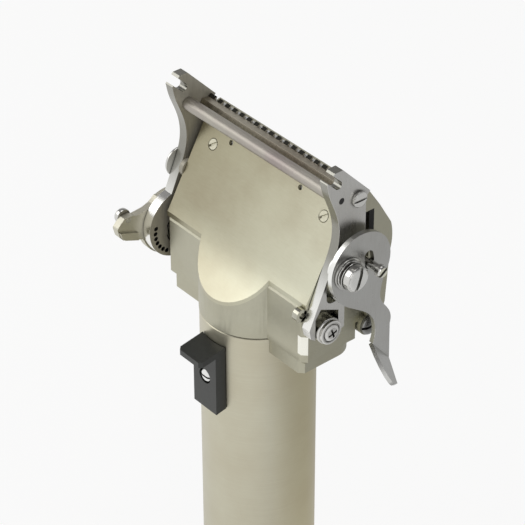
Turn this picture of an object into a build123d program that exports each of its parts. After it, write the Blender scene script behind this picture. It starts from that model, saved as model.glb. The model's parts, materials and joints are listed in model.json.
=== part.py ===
"""Powered skin-graft knife (dermatome), modelled piece by piece in millimetres.

The handle stands along +Z with the centre of its end cap at the origin.
The cutting head sits on top, its flat sole facing forward (-Y) and leaning back.
Heights on the head are measured from the seam, where the handle tube meets the head casting.
"""
from build123d import *
import os
from math import atan2, cos, degrees, radians, sin

os.makedirs("parts", exist_ok=True)

# ---------------------------------------------------------------- driving dimensions
grip_diameter = 43.5
tube_wall = 2.0
tube_length = 110.0
cap_height = 32.0
cap_floor = 4.0
cap_spigot_length = 8.0
cap_bore_radius = 17.5
seam_seal_height = 0.5

battery_length = 58.0
motor_radius = 17.0
motor_length = 50.0
motor_boss_length = 4.0
board_thickness = 1.6

running_clearance = 0.05        # a shaft turning in its bearing
sliding_gap = 0.1               # flat faces that slide on each other
seat_clearance = 0.1            # a spigot or a bearing in its seat
free_gap = 0.3                  # curved faces that pass without touching

collar_radius = 21.9            # round neck of the casting
spigot_depth = 8.0
skirt_depth = 6.5               # the casting's skirt, round the sides and back of the tube
skirt_front_inset = 0.7
skirt_side_inset = 2.4
skirt_back = 16.0
wing_half_width = 39.1
wing_front = -11.4
wing_corner_chamfer = 1.8
cheek_overhang = 1.85           # the rear cheeks stand out behind the side plates
cheek_front = 16.5
cheek_brow_front = 14.6         # the cheeks' upper ends come further forward
cheek_brow_height = 55.0
relief_depth = 6.0              # slot between each side plate's back edge and its cheek
relief_front = 13.0
relief_bottom = 46.0
relief_top = 64.0
plug_y = 17.7
plug_height = 5.2
plug_boss_radius = 4.4
plug_boss_length = 8.0
rear_cut_front = 12.8           # the rear corners are cut away round the plug bosses
rear_cut_height = 7.0
rear_cut_inner = 27.0
lug_y = -12.2
lug_height = 21.6
lug_radius = 2.6
lug_hole_radius = 1.2
lug_length = 2.5
lug_inset = 0.5

sole_lean = 29.0                # degrees back from upright
sole_foot_y = -11.0             # the sole's face passes through this line
sole_foot_height = 25.0
sole_thickness = 1.2
sole_top = 38.5                 # distances up the sole are measured from its foot
sole_corner_radius = 2.0
flare_start = 6.2
flare_end = (-23.5, 11.6)
sole_screw_inset = 8.5          # from each side edge of the sole
sole_screw_up = 31.6
sole_screw_length = 8.0
sole_screw_head_radius = 2.1

blade_thickness = 0.5
blade_clearance = 0.15
blade_bottom = 24.0
blade_tip = 46.7
blade_bevel = 1.6
blade_side_clearance = 0.35     # left to the side plates at the end of the stroke
blade_support_top = 44.0
blade_peg_radius = 1.5
blade_peg_out = 4.5
blade_peg_up = 29.0
stroke = 1.6                    # the blade moves this far each way

plate_thickness = 4.0
pivot_y = 0.2
pivot_height = 39.7
pivot_radius = 2.4
washer_radius = 6.1
spacer_radius = 3.8
left_standoff = 2.1             # a spacer holds the left side plate off the casting
eye_y = -4.5                    # the thickness shaft crosses the casting here
eye_height = 15.4
cam_radius = 5.25
cam_throw = 0.8
cam_proud = 1.2                 # the cams stand out of the side plates
cross_shaft_radius = 1.25

bar_y = 1.4
bar_height = 66.5
bar_radius = 2.5
bar_journal_radius = 1.2
hook_top = 79.1
hook_notch_width = 3.2
hook_notch_end = (-0.2, 73.6)
hook_notch_lean = 45.0

comb_foot = 42.2
comb_shoulder = 46.1
comb_tip = 47.5
comb_depth = 3.9
comb_back = -0.7
comb_tooth_thickness = 1.3
comb_pitch = 4.1
comb_gap = 1.15
comb_screw_up = 44.2
comb_screw_out = 1.5
comb_screw_radius = 1.2
comb_screw_reach = 7.0          # into the comb

clamp_gap = 3.0                 # between the right side plate and the clamp lever
clamp_thickness = 2.0
clamp_disc_y = 6.6
clamp_disc_height = 39.2
disc_radius = 13.8
guide_pin_y = 10.5
guide_pin_height = 39.0
guide_pin_radius = 1.75
guide_pin_head_radius = 2.35
guide_pin_head_length = 2.6
guide_pin_reach = 7.3           # beyond the clamp lever
guide_pin_seat = 8.0            # depth in the casting
clamp_swing = 20.0
tab_bend = 60.0
tab_thickness = 1.5
lever_thickness = 3.0           # thickness lever

index_plate_radius = 14.2       # round lower end of the left side plate
index_plate_centre = (-3.6, 16.5)
index_ring_radius = 10.6
index_step = 12.0
index_hole_count = 7
index_hole_radius = 0.9

shaft_radius = 2.0
crank_throw = 1.6
crank_pin_radius = 1.2
roller_radius = 1.6
crank_web_radius = 3.8

trigger_width = 13.0
trigger_travel = 5.0
trigger_front = -25.7
trigger_top = -7.0
trigger_bottom = -35.6
trigger_ledge_front = -32.8
trigger_ledge_thickness = 2.4
trigger_screw_height = -21.0
trigger_screw_radius = 1.2
trigger_screw_head_radius = 2.8
trigger_screw_sink = 1.6

# ---------------------------------------------------------------- derived sizes
grip_radius = grip_diameter / 2
tube_bore_radius = grip_radius - tube_wall
seam = cap_height + tube_length
lean = radians(sole_lean)
cheek_half_width = wing_half_width + cheek_overhang
sole_screw_x = wing_half_width - sole_screw_inset
plate_inner = wing_half_width + sliding_gap
plate_outer = plate_inner + plate_thickness
left_plate_inner = wing_half_width + left_standoff
left_plate_outer = left_plate_inner + plate_thickness
blade_half_width = plate_inner - stroke - blade_side_clearance
comb_gap_count = int(2 * wing_half_width // comb_pitch)
clamp_inner = plate_outer + clamp_gap
clamp_outer = clamp_inner + clamp_thickness
blade_front = -sole_thickness - blade_clearance
blade_back = blade_front - blade_thickness
blade_bed = blade_back - blade_clearance


def side_plane(x):
    """A plane facing +X, with Y to the right and the height above the seam upwards."""
    return Plane(origin=(x, 0, seam), x_dir=(0, 1, 0), z_dir=(1, 0, 0))


def sole_plane(out):
    """A plane parallel to the sole, at a distance in front of its face."""
    origin = (0, sole_foot_y - out * cos(lean), seam + sole_foot_height + out * sin(lean))
    return Plane(origin=origin, x_dir=(1, 0, 0), z_dir=(0, -cos(lean), sin(lean)))


def sole_point(up, out):
    """Side-view point at a distance up the sole and in front of its face."""
    y = sole_foot_y + up * sin(lean) - out * cos(lean)
    z = sole_foot_height + up * cos(lean) + out * sin(lean)
    return (y, z)


def flare_points(depth):
    """Start, middle and end of the arc that carries the sole down to the round neck."""
    start = Vector(*sole_point(flare_start, 0))
    chord = Vector(*flare_end) - start
    normal = Vector(-cos(lean), sin(lean))
    radius = chord.length ** 2 / (2 * chord.dot(normal))
    centre = start + normal * radius
    last = Vector(*flare_end) - centre
    first_angle = -lean
    last_angle = atan2(last.Y, last.X)
    points = []
    for angle in (first_angle, (first_angle + last_angle) / 2, last_angle):
        direction = Vector(cos(angle), sin(angle))
        points.append(centre + direction * (radius + depth))
    return points


def finish(part, name):
    """Label a finished piece and write it."""
    part.label = name
    export_step(part, f"parts/{name}.step")


def slotted_screw(head_radius, head_height, shank_radius, shank_length, slot_width, slot_depth):
    """Domed slotted screw: the head's seat is at the origin and the shank points down."""
    with BuildPart() as screw:
        with BuildSketch(Plane.XZ):
            with BuildLine():
                Polyline((0, head_height), (0, -shank_length), (shank_radius, -shank_length),
                         (shank_radius, 0), (head_radius, 0), (head_radius, head_height * 0.55))
                ThreePointArc((head_radius, head_height * 0.55),
                              (head_radius * 0.72, head_height * 0.9), (0, head_height))
            make_face()
        revolve(axis=Axis.Z)
        with BuildSketch(Plane.XY.offset(head_height - slot_depth)):
            Rectangle(3 * head_radius, slot_width)
        extrude(amount=2 * slot_depth, mode=Mode.SUBTRACT)
    return screw.part


def washer(outer_radius, inner_radius, thickness):
    """Flat ring standing on the origin."""
    with BuildPart() as ring:
        with BuildSketch():
            Circle(outer_radius)
            Circle(inner_radius, mode=Mode.SUBTRACT)
        extrude(amount=thickness)
    return ring.part


def facing_right(x, y, height):
    """Placement with +Z turned to +X, for screws and washers on the right side."""
    return Plane(origin=(x, y, seam + height), x_dir=(0, 1, 0), z_dir=(1, 0, 0))


def facing_left(x, y, height):
    """Placement with +Z turned to -X, for screws and washers on the left side."""
    return Plane(origin=(x, y, seam + height), x_dir=(0, -1, 0), z_dir=(-1, 0, 0))


# ---------------------------------------------------------------- handle
with BuildPart() as handle_tube:
    with BuildSketch(Plane.XY.offset(cap_height)):
        Circle(grip_radius)
        Circle(tube_bore_radius, mode=Mode.SUBTRACT)
    extrude(amount=tube_length - seam_seal_height)
    slider_length = 12.0
    slider_width = 6.0
    slot_length = slider_length + trigger_travel + 2 * seat_clearance
    slot_middle = trigger_screw_height - trigger_travel / 2
    with BuildSketch(Plane.XZ.offset(tube_bore_radius - tube_wall)):
        with Locations((0, seam + slot_middle)):
            RectangleRounded(slider_width + 2 * seat_clearance, slot_length, 1.0)
    extrude(amount=3 * tube_wall, mode=Mode.SUBTRACT)
    rims = handle_tube.edges().filter_by(GeomType.CIRCLE).filter_by(
        lambda edge: abs(edge.radius - grip_radius) < 0.01)
    chamfer([rims.sort_by(Axis.Z)[0], rims.sort_by(Axis.Z)[-1]], 0.3)
finish(handle_tube.part, "handle_tube")

spigot_radius = tube_bore_radius - seat_clearance
seal_groove_depth = 1.2
seal_groove_width = 2.0
seal_groove_height = cap_height + cap_spigot_length / 2

with BuildPart() as end_cap:
    with BuildSketch():
        Circle(grip_radius)
    extrude(amount=cap_height)
    with BuildSketch(Plane.XY.offset(cap_height)):
        Circle(spigot_radius)
    extrude(amount=cap_spigot_length)
    with BuildSketch(Plane.XY.offset(cap_floor)):
        Circle(cap_bore_radius)
    extrude(amount=cap_height + cap_spigot_length - cap_floor, mode=Mode.SUBTRACT)
    with BuildSketch(Plane.XY.offset(seal_groove_height - seal_groove_width / 2)):
        Circle(spigot_radius)
        Circle(spigot_radius - seal_groove_depth, mode=Mode.SUBTRACT)
    extrude(amount=seal_groove_width, mode=Mode.SUBTRACT)
    fillet(end_cap.faces().sort_by(Axis.Z)[0].edges(), 1.5)
    with Locations(end_cap.faces().sort_by(Axis.Z)[0]):
        with PolarLocations(12, 2):
            Hole(2.0, depth=2.0)
finish(end_cap.part, "end_cap")

with BuildPart() as cap_seal:
    with BuildSketch(Plane.XZ):
        with Locations((spigot_radius - seal_groove_depth / 2, seal_groove_height)):
            Circle(seal_groove_depth / 2)
    revolve(axis=Axis.Z)
finish(cap_seal.part, "cap_seal")

contact_height = 1.0
with BuildPart() as battery_contact:
    with BuildSketch(Plane.XY.offset(cap_floor)):
        Circle(9)
        Circle(3, mode=Mode.SUBTRACT)
    extrude(amount=contact_height)
finish(battery_contact.part, "battery_contact")

battery_bottom = cap_floor + contact_height
battery_radius = cap_bore_radius - free_gap
with BuildPart() as battery_pack:
    with BuildSketch(Plane.XY.offset(battery_bottom)):
        Circle(battery_radius)
    extrude(amount=battery_length)
    fillet(battery_pack.faces().sort_by(Axis.Z)[0].edges(), 1.0)
    with BuildSketch(battery_pack.faces().sort_by(Axis.Z)[-1]):
        Circle(6)
    extrude(amount=1.0)
finish(battery_pack.part, "battery_pack")

motor_top = seam - spigot_depth
motor_bottom = motor_top - motor_length
board_bottom = battery_bottom + battery_length + 1.0
with BuildPart() as control_board:
    with BuildSketch(Plane.XY.offset(board_bottom)):
        Circle(tube_bore_radius - 0.25)
    extrude(amount=board_thickness)
    with BuildSketch(Plane.XY.offset(board_bottom + board_thickness)):
        with PolarLocations(9, 3, start_angle=90):
            Rectangle(5, 7)
    extrude(amount=motor_bottom - board_bottom - board_thickness)
finish(control_board.part, "control_board")

motor_boss_radius = 7.9
motor_shaft_depth = 14.0
with BuildPart() as motor:
    with BuildSketch(Plane.XY.offset(motor_bottom)):
        Circle(motor_radius)
    extrude(amount=motor_length)
    chamfer(motor.faces().sort_by(Axis.Z)[0].edges(), 1.5)
    with BuildSketch(Plane.XY.offset(motor_top)):
        Circle(motor_boss_radius)
    extrude(amount=motor_boss_length)
    with Locations(motor.faces().sort_by(Axis.Z)[-1]):
        Hole(shaft_radius + running_clearance, depth=motor_shaft_depth)
finish(motor.part, "motor")

with BuildPart() as seam_seal:
    with BuildSketch(Plane.XY.offset(seam - seam_seal_height)):
        Circle(grip_radius - 0.5)
        Circle(tube_bore_radius + 0.2, mode=Mode.SUBTRACT)
    extrude(amount=seam_seal_height)
finish(seam_seal.part, "seam_seal")

# ---------------------------------------------------------------- head casting
bearing_width = 5.0
lower_bearing_radius = motor_boss_radius
lower_bearing_bottom = 0.5
upper_bearing_radius = 5.4
upper_bearing_width = 4.0
upper_bearing_top = 30.4
shaft_bore_radius = 2.5
carrier_half_width = 7.5
carrier_thickness = 3.2
carrier_top = 33.0
pocket_half_width = carrier_half_width + stroke + 0.4
pocket_floor = upper_bearing_top + 0.1
pocket_back = 5.6
pocket_front = -12.0
pocket_ceiling = 44.0
boss_radius = 2.6
screw_radius = 1.5
pivot_thread_radius = 1.2
pivot_thread_length = 3.5
plug_radius = 3.4
plug_depth = 4.0

with BuildPart() as head_casting:
    # cross-section of the whole casting, seen from the right side
    flare = flare_points(sole_thickness)
    with BuildSketch(side_plane(-cheek_half_width)):
        with BuildLine():
            Line((flare[2].X, 0), flare[2])
            ThreePointArc(flare[2], flare[1], flare[0])
            Polyline(flare[0], sole_point(sole_top + 0.5, -sole_thickness),
                     sole_point(sole_top + 0.5, blade_bed),
                     sole_point(blade_support_top, blade_bed), (16.5, 63.0), (21.5, 55.4),
                     (27.1, 45.7))
            ThreePointArc((27.1, 45.7), (27.9, 40.0), (27.0, 33.6))
            Polyline((27.0, 33.6), (25.2, 12.0), (22.2, 3.5), (20.0, 0), (flare[2].X, 0))
        make_face()
    extrude(amount=2 * cheek_half_width)
    # plan view: round neck, wings with chamfered corners and wider cheeks behind
    with BuildSketch(Plane.XY.offset(seam)):
        Circle(collar_radius)
        with Locations((0, cheek_brow_front)):
            Rectangle(2 * cheek_half_width, 40, align=(Align.CENTER, Align.MIN))
        with BuildLine():
            corner = wing_corner_chamfer
            Polyline((-wing_half_width, cheek_front + 1), (-wing_half_width, wing_front + corner),
                     (-wing_half_width + corner, wing_front), (wing_half_width - corner, wing_front),
                     (wing_half_width, wing_front + corner), (wing_half_width, cheek_front + 1),
                     close=True)
        make_face()
    extrude(amount=80, mode=Mode.INTERSECT)
    # the cheeks stand back below their brows, and a deep slot parts them from the side plates
    for side in (-1, 1):
        with BuildSketch(side_plane(side * wing_half_width)):
            with Locations((cheek_brow_front - 1, 0)):
                Rectangle(cheek_front - cheek_brow_front + 1, cheek_brow_height,
                          align=(Align.MIN, Align.MIN))
        extrude(amount=side * 4, mode=Mode.SUBTRACT)
        with BuildSketch(side_plane(side * cheek_half_width)):
            with Locations((relief_front, relief_bottom)):
                Rectangle(cheek_front - relief_front, cheek_brow_height - relief_bottom,
                          align=(Align.MIN, Align.MIN))
                Rectangle(cheek_brow_front - relief_front, relief_top - relief_bottom,
                          align=(Align.MIN, Align.MIN))
        depth = cheek_half_width - wing_half_width + relief_depth
        extrude(amount=-side * depth, mode=Mode.SUBTRACT)
        with BuildSketch(side_plane(side * rear_cut_inner)):
            with Locations((rear_cut_front, 0)):
                Rectangle(30, rear_cut_height, align=(Align.MIN, Align.MIN))
        extrude(amount=side * 30, mode=Mode.SUBTRACT)
        with BuildSketch(side_plane(side * cheek_half_width)):
            with Locations((plug_y, plug_height)):
                Circle(plug_boss_radius)
        extrude(amount=-side * plug_boss_length)
    # small eyelet below the sole's lower right corner
    with BuildSketch(side_plane(wing_half_width - lug_inset - lug_length)):
        with Locations((lug_y, lug_height)):
            Circle(lug_radius)
    extrude(amount=lug_length)
    with BuildSketch(side_plane(wing_half_width - lug_inset - lug_length)):
        with Locations((lug_y, lug_height)):
            Circle(lug_hole_radius)
    extrude(amount=lug_length, mode=Mode.SUBTRACT)
    # the wings draw in below before they become the skirt
    with BuildSketch(Plane.XY.offset(seam)):
        with Locations((0, wing_front)):
            Rectangle(2 * wing_half_width, rear_cut_front - wing_front,
                      align=(Align.CENTER, Align.MIN))
        chamfer(vertices().group_by(Axis.Y)[0], wing_corner_chamfer)
    extrude(amount=-skirt_side_inset, taper=45)
    # skirt below the wings, round the sides and back of the tube
    with BuildSketch(Plane.XY.offset(seam - skirt_depth)):
        with Locations((0, wing_front + skirt_front_inset)):
            Rectangle(2 * (wing_half_width - skirt_side_inset),
                      skirt_back - wing_front - skirt_front_inset, align=(Align.CENTER, Align.MIN))
        fillet(vertices().group_by(Axis.Y)[-1], 9)
        chamfer(vertices().group_by(Axis.Y)[0], wing_corner_chamfer)
    extrude(amount=skirt_depth)
    with BuildSketch(Plane.XY.offset(seam - skirt_depth)):
        Circle(grip_radius + seat_clearance)
    extrude(amount=skirt_depth, mode=Mode.SUBTRACT)
    with BuildSketch(Plane.XY.offset(seam - spigot_depth)):
        Circle(spigot_radius)
    extrude(amount=spigot_depth)
    # blade bed behind the sole plate, with bosses for the sole screws
    with BuildSketch(sole_plane(blade_bed)):
        with Locations((0, (blade_bottom - 0.4 + sole_top + 2) / 2)):
            Rectangle(2 * cheek_half_width, sole_top + 2 - blade_bottom + 0.4)
        with Locations((-sole_screw_x, sole_screw_up), (sole_screw_x, sole_screw_up)):
            Circle(boss_radius, mode=Mode.SUBTRACT)
    extrude(amount=-blade_bed + 1, mode=Mode.SUBTRACT)
    # pocket for the blade carrier and the crank
    with BuildSketch(sole_plane(blade_back - carrier_thickness - free_gap)):
        with Locations((0, 11)):
            Rectangle(2 * pocket_half_width, carrier_top + stroke - 11,
                      align=(Align.CENTER, Align.MIN))
    extrude(amount=10, mode=Mode.SUBTRACT)
    with BuildSketch(side_plane(-pocket_half_width)):
        with BuildLine():
            Polyline((pocket_front, pocket_floor), (pocket_back, pocket_floor),
                     (pocket_back, pocket_ceiling), (0, pocket_ceiling),
                     (pocket_front, pocket_floor + 0.5), close=True)
        make_face()
    extrude(amount=2 * pocket_half_width, mode=Mode.SUBTRACT)
    # bores along the handle axis
    with BuildSketch(Plane.XY.offset(seam - spigot_depth)):
        Circle(lower_bearing_radius + running_clearance)
    extrude(amount=spigot_depth + lower_bearing_bottom + bearing_width, mode=Mode.SUBTRACT)
    with BuildSketch(Plane.XY.offset(seam)):
        Circle(shaft_bore_radius)
    extrude(amount=pocket_floor, mode=Mode.SUBTRACT)
    with BuildSketch(Plane.XY.offset(seam + upper_bearing_top - upper_bearing_width)):
        Circle(upper_bearing_radius + running_clearance)
    extrude(amount=upper_bearing_width + 1, mode=Mode.SUBTRACT)
    # cross bores: thickness shaft, pivot screws, guide pin and side plugs
    with BuildSketch(side_plane(-cheek_half_width)):
        with Locations((eye_y, eye_height)):
            Circle(cross_shaft_radius + running_clearance)
    extrude(amount=2 * cheek_half_width, mode=Mode.SUBTRACT)
    for side in (-1, 1):
        with BuildSketch(side_plane(side * wing_half_width)):
            with Locations((pivot_y, pivot_height)):
                Circle(pivot_thread_radius)
        extrude(amount=-side * pivot_thread_length, mode=Mode.SUBTRACT)
        with BuildSketch(side_plane(side * cheek_half_width)):
            with Locations((plug_y, plug_height)):
                Circle(plug_radius)
        extrude(amount=-side * plug_depth, mode=Mode.SUBTRACT)
        with BuildSketch(sole_plane(0)):
            with Locations((side * sole_screw_x, sole_screw_up)):
                Circle(screw_radius)
        extrude(amount=-sole_screw_length - 1, mode=Mode.SUBTRACT)
    with BuildSketch(side_plane(wing_half_width)):
        with Locations((guide_pin_y, guide_pin_height)):
            Circle(guide_pin_radius)
    extrude(amount=-guide_pin_seat, mode=Mode.SUBTRACT)
finish(head_casting.part, "head_casting")

# ---------------------------------------------------------------- sole plate
with BuildPart() as sole_plate:
    outer = flare_points(0)
    inner = flare_points(sole_thickness)
    with BuildSketch(side_plane(-wing_half_width)):
        with BuildLine():
            Line(sole_point(sole_top, -sole_thickness), sole_point(sole_top, 0))
            Line(sole_point(sole_top, 0), outer[0])
            ThreePointArc(outer[0], outer[1], outer[2])
            Line(outer[2], inner[2])
            ThreePointArc(inner[2], inner[1], inner[0])
            Line(inner[0], sole_point(sole_top, -sole_thickness))
        make_face()
    extrude(amount=2 * wing_half_width)
    # outline seen square to the sole
    with BuildSketch(sole_plane(-2 * sole_thickness)):
        with Locations((0, sole_top)):
            Rectangle(2 * wing_half_width, 2 * sole_top, align=(Align.CENTER, Align.MAX))
        fillet(vertices().group_by(Axis.Y)[-1], sole_corner_radius)
    extrude(amount=12, mode=Mode.INTERSECT)
    with BuildSketch(Plane.XY.offset(seam)):
        Circle(collar_radius)
        with Locations((0, wing_front + 0.5)):
            Rectangle(2 * wing_half_width, 40, align=(Align.CENTER, Align.MIN))
    extrude(amount=80, mode=Mode.INTERSECT)
    with Locations(sole_plane(0)):
        with Locations((-sole_screw_x, sole_screw_up), (sole_screw_x, sole_screw_up)):
            CounterSinkHole(screw_radius + seat_clearance, sole_screw_head_radius + free_gap,
                            depth=3, counter_sink_angle=90)
        with Locations((-22.5, 35.8), (15.8, 35.8)):
            Hole(1.0, depth=3)
finish(sole_plate.part, "sole_plate")

with BuildPart() as sole_screw:
    with BuildSketch(Plane.XZ):
        with BuildLine():
            Polyline((0, 0), (sole_screw_head_radius, 0), (screw_radius, -0.6),
                     (screw_radius, -sole_screw_length), (0, -sole_screw_length), close=True)
        make_face()
    revolve(axis=Axis.Z)
    with BuildSketch(Plane.XY.offset(-0.6)):
        Rectangle(8, 0.8, rotation=40)
    extrude(amount=1, mode=Mode.SUBTRACT)
with BuildPart() as sole_screws:
    with Locations(sole_plane(-0.1)):
        with Locations((-sole_screw_x, sole_screw_up), (sole_screw_x, sole_screw_up)):
            add(sole_screw.part)
finish(sole_screws.part, "sole_screws")

# ---------------------------------------------------------------- drive
shaft_bottom = motor_top + motor_boss_length - motor_shaft_depth + 1
web_bottom = seam + pocket_floor + 0.4
web_thickness = 1.4
pin_top = web_bottom + web_thickness + 2.9
with BuildPart() as drive_shaft:
    with BuildSketch(Plane.XY.offset(shaft_bottom)):
        Circle(shaft_radius)
    extrude(amount=web_bottom - shaft_bottom)
    with BuildSketch(Plane.XY.offset(web_bottom)):
        Circle(crank_web_radius)
    extrude(amount=web_thickness)
    with BuildSketch(Plane.XY.offset(web_bottom + web_thickness)):
        with Locations((0, crank_throw)):
            Circle(crank_pin_radius)
    extrude(amount=pin_top - web_bottom - web_thickness)
finish(drive_shaft.part, "drive_shaft")

with BuildPart() as crank_roller:
    with Locations((0, crank_throw, web_bottom + web_thickness)):
        add(washer(roller_radius, crank_pin_radius, 2.5))
finish(crank_roller.part, "crank_roller")

with BuildPart() as lower_bearing:
    with Locations((0, 0, seam + lower_bearing_bottom)):
        add(washer(lower_bearing_radius, shaft_radius + running_clearance, bearing_width))
finish(lower_bearing.part, "lower_bearing")

with BuildPart() as upper_bearing:
    with Locations((0, 0, seam + upper_bearing_top - upper_bearing_width)):
        add(washer(upper_bearing_radius, shaft_radius + running_clearance, upper_bearing_width))
finish(upper_bearing.part, "upper_bearing")

fork_half_slot = stroke + crank_throw + roller_radius + free_gap
fork_bottom = pocket_floor + 2.7
carrier_bottom = 13.0
carrier_back = pocket_back - 0.8
with BuildPart() as blade_carrier:
    with BuildSketch(sole_plane(blade_back)):
        with Locations((0, carrier_bottom)):
            Rectangle(2 * carrier_half_width, carrier_top - carrier_bottom,
                      align=(Align.CENTER, Align.MIN))
    extrude(amount=-carrier_thickness)
    # fork that straddles the crank roller
    with BuildSketch(side_plane(-carrier_half_width)):
        with BuildLine():
            Polyline(sole_point(carrier_bottom, blade_back), sole_point(18, blade_back),
                     (carrier_back, 42), (carrier_back, fork_bottom), (-3.0, fork_bottom), close=True)
        make_face()
    extrude(amount=2 * carrier_half_width)
    with BuildSketch(Plane.XY.offset(seam + pocket_floor)):
        Rectangle(2 * fork_half_slot, 4 * carrier_half_width)
    extrude(amount=pin_top + free_gap - seam - pocket_floor, mode=Mode.SUBTRACT)
    with BuildSketch(sole_plane(blade_back)):
        with Locations((-blade_peg_out, blade_peg_up), (blade_peg_out, blade_peg_up)):
            Circle(blade_peg_radius)
    extrude(amount=blade_thickness)
finish(blade_carrier.part, "blade_carrier")

with BuildPart() as blade:
    with BuildSketch(sole_plane(blade_back)):
        with Locations((0, blade_bottom)):
            Rectangle(2 * blade_half_width, blade_tip - blade_bottom, align=(Align.CENTER, Align.MIN))
        slot_height = 2 * (boss_radius + free_gap)
        with Locations((-sole_screw_x, sole_screw_up), (sole_screw_x, sole_screw_up)):
            SlotOverall(slot_height + 2 * stroke, slot_height, mode=Mode.SUBTRACT)
        with Locations((-blade_peg_out, blade_peg_up), (blade_peg_out, blade_peg_up)):
            Circle(blade_peg_radius, mode=Mode.SUBTRACT)
    extrude(amount=blade_thickness)
    edge = blade.edges().filter_by(Axis.X).group_by(Axis.Z)[-1].sort_by(Axis.Y)[0]
    chamfer(edge, length=blade_thickness * 0.8, length2=blade_bevel)
finish(blade.part, "blade")

# ---------------------------------------------------------------- swinging gauge frame
cam_centre = (eye_y, eye_height - cam_throw)
fork_half_width = cam_radius + running_clearance
hook_angle = radians(hook_notch_lean)
hook_middle = (hook_notch_end[0] - 5 * cos(hook_angle), hook_notch_end[1] + 5 * sin(hook_angle))
arm_foot = (-12.7, 17.4)
arm_knee = (-2.4, 41.2)
arm_back_y = 12.8
arm_brow = (14.6, 65.4)

# outline shared by both side plates, with the holes for the pivot, the bar and the comb screw
with BuildSketch() as arm_outline:
    with BuildLine():
        Line(arm_foot, arm_knee)
        Spline(arm_knee, (0.3, 49.6), (-0.4, 60.0), (-3.6, 68.6), (-5.4, hook_top - 3.5),
               tangents=[(0.4, 0.92), (-0.2, 0.98)])
        Polyline((-5.4, hook_top - 3.5), (-1.9, hook_top), (1.7, hook_top), arm_brow,
                 (arm_back_y, arm_brow[1] - 1.8), (arm_back_y, 33.0), (3.7, 24.0), (3.7, 12.4),
                 (0.8, 11.2), (-9.8, 12.2), (-12.0, 13.8), arm_foot)
    make_face()
    with Locations((pivot_y, pivot_height)):
        Circle(pivot_radius + running_clearance, mode=Mode.SUBTRACT)
    with Locations((bar_y, bar_height)):
        Circle(bar_journal_radius, mode=Mode.SUBTRACT)
    with Locations(sole_point(comb_screw_up, comb_screw_out)):
        Circle(comb_screw_radius, mode=Mode.SUBTRACT)
    with Locations(hook_middle):
        SlotOverall(10 + hook_notch_width, hook_notch_width, rotation=-hook_notch_lean,
                    mode=Mode.SUBTRACT)

with BuildPart() as right_side_plate:
    with BuildSketch(side_plane(plate_inner)):
        add(arm_outline.sketch)
        with Locations((-1.6, 30.6)):
            RectangleRounded(6.4, 10.6, 2.6, mode=Mode.SUBTRACT)
        # fork, open below, whose sides rest on the eccentric cam
        with BuildLine():
            Polyline((eye_y - fork_half_width, 9), (eye_y - fork_half_width, 21.2), (-7.4, 24.6),
                     (eye_y + fork_half_width, 20.8), (eye_y + fork_half_width, 9), close=True)
        make_face(mode=Mode.SUBTRACT)
        # notch that clears the guide pin
        with Locations((guide_pin_y + 4, guide_pin_height)):
            SlotOverall(2 * guide_pin_radius + 10, 2 * guide_pin_radius + 2, mode=Mode.SUBTRACT)
    extrude(amount=plate_thickness)
finish(right_side_plate.part, "right_side_plate")

with BuildPart() as left_side_plate:
    with BuildSketch(side_plane(-left_plate_outer)):
        add(arm_outline.sketch)
        with Locations(index_plate_centre):
            Circle(index_plate_radius)
        # upright slot whose sides rest on the eccentric cam
        with Locations(cam_centre):
            SlotOverall(2 * (fork_half_width + cam_throw + free_gap), 2 * fork_half_width,
                        rotation=90, mode=Mode.SUBTRACT)
        with Locations((eye_y, eye_height)):
            with PolarLocations(index_ring_radius, index_hole_count, start_angle=202 - 3 * index_step,
                                angular_range=(index_hole_count - 1) * index_step, endpoint=True):
                Circle(index_hole_radius, mode=Mode.SUBTRACT)
    extrude(amount=plate_thickness)
finish(left_side_plate.part, "left_side_plate")

with BuildPart() as gauge_bar:
    with BuildSketch(side_plane(-left_plate_inner)):
        with Locations((bar_y, bar_height)):
            Circle(bar_radius)
    extrude(amount=left_plate_inner + plate_inner)
    with BuildSketch(side_plane(-left_plate_outer)):
        with Locations((bar_y, bar_height)):
            Circle(bar_journal_radius)
    extrude(amount=left_plate_outer + plate_outer)
finish(gauge_bar.part, "gauge_bar")

with BuildPart() as comb:
    with BuildSketch(side_plane(-left_plate_inner)):
        front = comb_back + comb_depth
        with BuildLine():
            Polyline(sole_point(comb_foot, comb_back), sole_point(comb_tip, comb_back),
                     sole_point(comb_tip, comb_back + comb_tooth_thickness),
                     sole_point(comb_shoulder, comb_back + comb_tooth_thickness),
                     sole_point(comb_shoulder - 1, front), sole_point(comb_foot, front), close=True)
        make_face()
    extrude(amount=left_plate_inner + plate_inner)
    with BuildSketch(sole_plane(comb_back - 1)):
        with Locations((0, comb_tip)):
            with GridLocations(comb_pitch, 1, comb_gap_count, 1):
                Rectangle(comb_gap, 2 * (comb_tip - comb_shoulder))
    extrude(amount=10, mode=Mode.SUBTRACT)
    hole_depth = comb_screw_reach + 1
    for end, depth in ((plate_inner, -hole_depth), (-left_plate_inner, hole_depth)):
        with BuildSketch(side_plane(end)):
            with Locations(sole_point(comb_screw_up, comb_screw_out)):
                Circle(comb_screw_radius)
        extrude(amount=depth, mode=Mode.SUBTRACT)
finish(comb.part, "comb")

comb_screw = slotted_screw(3.1, 2.2, comb_screw_radius, plate_thickness + comb_screw_reach,
                           0.9, 1.0)
comb_screw_y, comb_screw_height = sole_point(comb_screw_up, comb_screw_out)
with BuildPart() as comb_screws:
    with Locations(facing_right(plate_outer, comb_screw_y, comb_screw_height),
                   facing_left(-left_plate_outer, comb_screw_y, comb_screw_height)):
        add(comb_screw)
finish(comb_screws.part, "comb_screws")

# ---------------------------------------------------------------- pivot screws
flat_washer_thickness = 0.9
spring_washer_thickness = 2.0
right_head_seat = clamp_outer + flat_washer_thickness + spring_washer_thickness
left_washer_seat = left_plate_outer + sliding_gap
left_head_seat = left_washer_seat + flat_washer_thickness


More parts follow.
